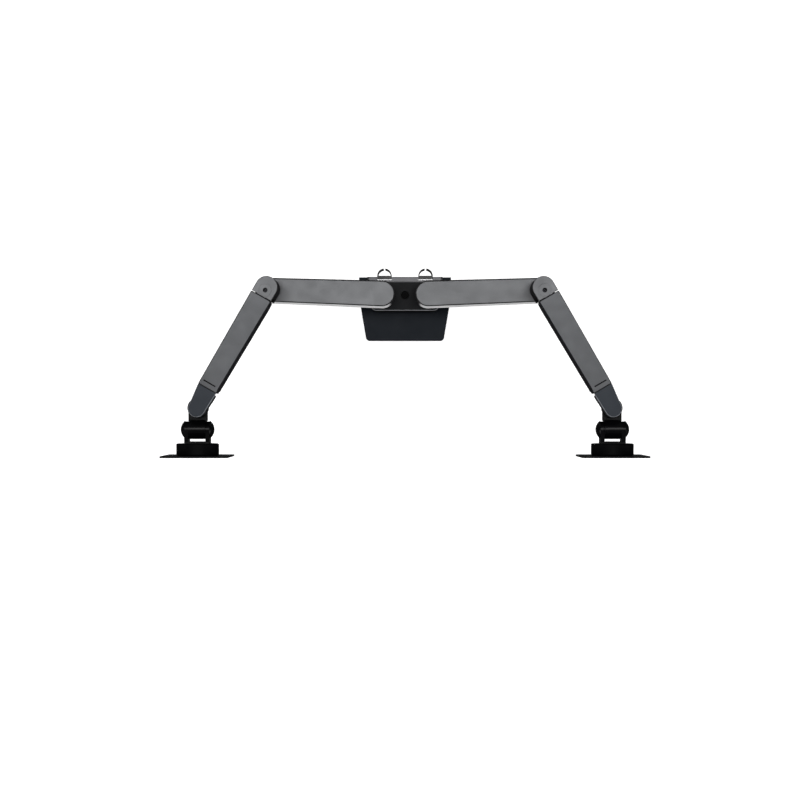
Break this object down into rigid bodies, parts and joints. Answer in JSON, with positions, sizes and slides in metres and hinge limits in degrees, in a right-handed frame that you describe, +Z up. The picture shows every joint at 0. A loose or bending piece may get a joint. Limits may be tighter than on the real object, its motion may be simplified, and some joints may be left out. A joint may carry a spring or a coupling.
{
  "type": "dual monitor arm",
  "caption": "Desk-clamped arm pair for two screens: folding lower and upper arms, sprung lift, and swivel, tilt and rotate heads with square mounting plates.",
  "frame": {"origin": "on the desk top, midway between the two base pivots", "axes": "+Z up, +Y towards the back edge of the desk, -Y towards the user, +X to the user's right hand seen from the front"},
  "size_m": [0.8278, 0.332, 0.3685],
  "materials": {
    "rubber": "matt",
    "black_plate": "satin black powder coat",
    "black_housing": "semi-gloss black",
    "grey_steel": "satin grey",
    "steel": "machined",
    "black_plastic": "fine texture",
    "bearing_plastic": "acetal",
    "satin_arm": "satin black powder coat",
    "grey_cover": "satin dark grey",
    "black_block": "satin black",
    "blue_black_block": "satin blue black",
    "strut_paint": "gloss black tube",
    "gloss_black": "gloss black"
  },
  "bodies": {
    "base": {"base_pad": "rubber", "base_plate": "black_plate", "base_housing": "black_housing", "centre_bolt": "steel", "clamp_upright": "grey_steel", "clamp_jaw": "black_plate", "bracket_screws": "steel", "cable_clips": "black_plastic", "left_base_bush": "bearing_plastic", "right_base_bush": "bearing_plastic"},
    "pressure_foot": {"pressure_plate": "black_plate", "pressure_pad": "rubber"},
    "screw": {"clamp_screw": "steel", "clamp_knob": "black_plastic"},
    "right_lower": {"right_lower_arm": "satin_arm", "right_lower_cover": "grey_cover", "right_cable_cover": "black_plastic", "right_base_post": "steel", "right_elbow_bush": "bearing_plastic"},
    "right_elbow": {"right_elbow_block": "black_block", "right_elbow_cap": "grey_cover", "right_elbow_post": "steel", "right_tension_screw": "steel", "right_elbow_pins": "steel"},
    "right_upper": {"right_upper_shell": "satin_arm", "right_strut_cylinder": "strut_paint", "right_strut_pin": "steel"},
    "right_strut_rod": {"right_strut_rod": "steel"},
    "right_link": {"right_lower_link": "satin_arm"},
    "right_wrist": {"right_wrist_block": "blue_black_block", "right_wrist_pins": "steel"},
    "right_neck": {"right_swivel_neck": "gloss_black"},
    "right_tilt": {"right_tilt_clevis": "gloss_black", "right_tilt_bolt": "gloss_black", "right_puck": "gloss_black", "right_hub_screw": "steel"},
    "right_plate": {"right_vesa_plate": "gloss_black"},
    "left_lower": {"left_lower_arm": "satin_arm", "left_lower_cover": "grey_cover", "left_cable_cover": "black_plastic", "left_base_post": "steel", "left_elbow_bush": "bearing_plastic"},
    "left_elbow": {"left_elbow_block": "black_block", "left_elbow_cap": "grey_cover", "left_elbow_post": "steel", "left_tension_screw": "steel", "left_elbow_pins": "steel"},
    "left_upper": {"left_upper_shell": "satin_arm", "left_strut_cylinder": "strut_paint", "left_strut_pin": "steel"},
    "left_strut_rod": {"left_strut_rod": "steel"},
    "left_link": {"left_lower_link": "satin_arm"},
    "left_wrist": {"left_wrist_block": "blue_black_block", "left_wrist_pins": "steel"},
    "left_neck": {"left_swivel_neck": "gloss_black"},
    "left_tilt": {"left_tilt_clevis": "gloss_black", "left_tilt_bolt": "gloss_black", "left_puck": "gloss_black", "left_hub_screw": "steel"},
    "left_plate": {"left_vesa_plate": "gloss_black"}
  },
  "joints": [
    {"name": "clamp_lift", "type": "slide", "parent": "base", "child": "pressure_foot", "axis": [0, 0, 1], "range_m": [-0.04, 0.02]},
    {"name": "clamp_turn", "type": "hinge", "parent": "pressure_foot", "child": "screw", "pos_m": [0, -0.004, 0], "axis": [0, 0, 1], "range_deg": [-4800, 2400]},
    {"name": "right_base_swivel", "type": "hinge", "parent": "base", "child": "right_lower", "pos_m": [0.042, 0, 0.088], "axis": [0, 0, 1], "range_deg": [-90, 90]},
    {"name": "right_elbow_swivel", "type": "hinge", "parent": "right_lower", "child": "right_elbow", "pos_m": [0.23449, 0.00639, 0.117], "axis": [0, 0, -1], "range_deg": [-100, 80]},
    {"name": "right_lift", "type": "hinge", "parent": "right_elbow", "child": "right_upper", "pos_m": [0.24954, -0.01957, 0.163], "axis": [-0.8652, -0.5015, 0], "range_deg": [-28, 32]},
    {"name": "right_lower_link_turn", "type": "hinge", "parent": "right_elbow", "child": "right_link", "pos_m": [0.24954, -0.01957, 0.131], "axis": [-0.8652, -0.5015, 0], "range_deg": [-28, 32]},
    {"name": "right_wrist_level", "type": "hinge", "parent": "right_upper", "child": "right_wrist", "pos_m": [0.32878, -0.15626, 0.163], "axis": [-0.8652, -0.5015, 0], "range_deg": [-32, 28]},
    {"name": "right_strut_stroke", "type": "slide", "parent": "right_upper", "child": "right_strut_rod", "axis": [-0.5015, 0.8652, 0], "range_m": [-0.012, 0.012]},
    {"name": "right_head_swivel", "type": "hinge", "parent": "right_wrist", "child": "right_neck", "pos_m": [0.35638, -0.1991, 0.148], "axis": [0, 0, 1], "range_deg": [-60, 110]},
    {"name": "right_head_tilt", "type": "hinge", "parent": "right_neck", "child": "right_tilt", "pos_m": [0.35638, -0.2361, 0.145], "axis": [-1, 0, 0], "range_deg": [-35, 60]},
    {"name": "right_head_rotate", "type": "hinge", "parent": "right_tilt", "child": "right_plate", "pos_m": [0.35638, -0.2801, 0.145], "axis": [0, -1, 0], "range_deg": [-90, 90]},
    {"name": "left_base_swivel", "type": "hinge", "parent": "base", "child": "left_lower", "pos_m": [-0.042, 0, 0.088], "axis": [0, 0, -1], "range_deg": [-90, 90]},
    {"name": "left_elbow_swivel", "type": "hinge", "parent": "left_lower", "child": "left_elbow", "pos_m": [-0.23449, 0.00639, 0.117], "axis": [0, 0, 1], "range_deg": [-100, 80]},
    {"name": "left_lift", "type": "hinge", "parent": "left_elbow", "child": "left_upper", "pos_m": [-0.24954, -0.01957, 0.163], "axis": [-0.8652, 0.5015, 0], "range_deg": [-28, 32]},
    {"name": "left_lower_link_turn", "type": "hinge", "parent": "left_elbow", "child": "left_link", "pos_m": [-0.24954, -0.01957, 0.131], "axis": [-0.8652, 0.5015, 0], "range_deg": [-28, 32]},
    {"name": "left_wrist_level", "type": "hinge", "parent": "left_upper", "child": "left_wrist", "pos_m": [-0.32878, -0.15626, 0.163], "axis": [-0.8652, 0.5015, 0], "range_deg": [-32, 28]},
    {"name": "left_strut_stroke", "type": "slide", "parent": "left_upper", "child": "left_strut_rod", "axis": [0.5015, 0.8652, 0], "range_m": [-0.012, 0.012]},
    {"name": "left_head_swivel", "type": "hinge", "parent": "left_wrist", "child": "left_neck", "pos_m": [-0.35638, -0.1991, 0.148], "axis": [0, 0, -1], "range_deg": [-60, 110]},
    {"name": "left_head_tilt", "type": "hinge", "parent": "left_neck", "child": "left_tilt", "pos_m": [-0.35638, -0.2361, 0.145], "axis": [-1, 0, 0], "range_deg": [-35, 60]},
    {"name": "left_head_rotate", "type": "hinge", "parent": "left_tilt", "child": "left_plate", "pos_m": [-0.35638, -0.2801, 0.145], "axis": [0, 1, 0], "range_deg": [-90, 90]}
  ],
  "couplings": [
    {"joint": "right_lower_link_turn", "follows": "right_lift", "ratio": 1},
    {"joint": "right_wrist_level", "follows": "right_lift", "ratio": -1},
    {"joint": "right_strut_stroke", "follows": "right_lift", "m_per_rad": 0.0152},
    {"joint": "left_lower_link_turn", "follows": "left_lift", "ratio": 1},
    {"joint": "left_wrist_level", "follows": "left_lift", "ratio": -1},
    {"joint": "left_strut_stroke", "follows": "left_lift", "m_per_rad": 0.0152},
    {"joint": "clamp_turn", "follows": "clamp_lift", "rad_per_m": 2094.4}
  ]
}
